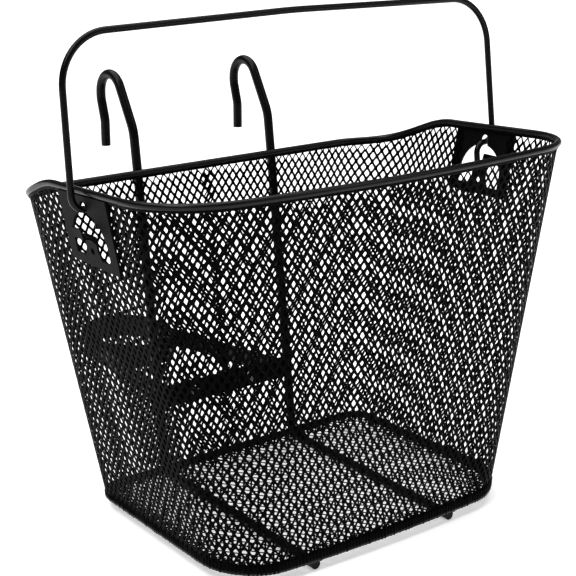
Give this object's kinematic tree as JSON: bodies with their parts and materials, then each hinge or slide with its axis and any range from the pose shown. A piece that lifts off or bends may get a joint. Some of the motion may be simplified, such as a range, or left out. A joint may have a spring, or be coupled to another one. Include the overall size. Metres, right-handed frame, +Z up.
{
  "type": "handlebar basket",
  "caption": "Wire-mesh bicycle basket with two handlebar hooks, a rear head-tube ring and a swinging carry handle.",
  "frame": {"origin": "centre of the footprint box, on the plane that the two floor rods stand on", "axes": "+Z up, +Y towards the bicycle (flat back wall, hooks and head-tube ring), -Y the bowed front, +X to the basket's right seen from its front"},
  "size_m": [0.365, 0.4046, 0.3565],
  "materials": {
    "rim_coat": "satin black powder coat",
    "mesh_coat": "satin black powder coat over expanded steel mesh",
    "rod_coat": "satin black vinyl-like coat",
    "handle_coat": "satin black powder coat",
    "plate_coat": "matt black powder coat",
    "stay_coat": "satin black powder coat",
    "fastener": "dark zinc plate"
  },
  "bodies": {
    "basket": {"rim_wire": "rim_coat", "floor_wire": "rim_coat", "wall_mesh": "mesh_coat", "floor_mesh": "mesh_coat", "hook_rod_left": "rod_coat", "hook_rod_right": "rod_coat", "handle_plate_left": "plate_coat", "handle_plate_right": "plate_coat", "stay_cross_bar": "stay_coat", "stay_ring": "stay_coat", "stay_arm_left": "stay_coat", "stay_arm_right": "stay_coat", "stay_bolts": "fastener", "stay_washers": "fastener", "stay_nuts": "fastener"},
    "handle": {"handle": "handle_coat"}
  },
  "joints": [
    {"name": "handle_swing", "type": "hinge", "parent": "basket", "child": "handle", "pos_m": [0, -0.08723, 0.2451], "axis": [1, 0, 0], "range_deg": [-84, 82]}
  ]
}
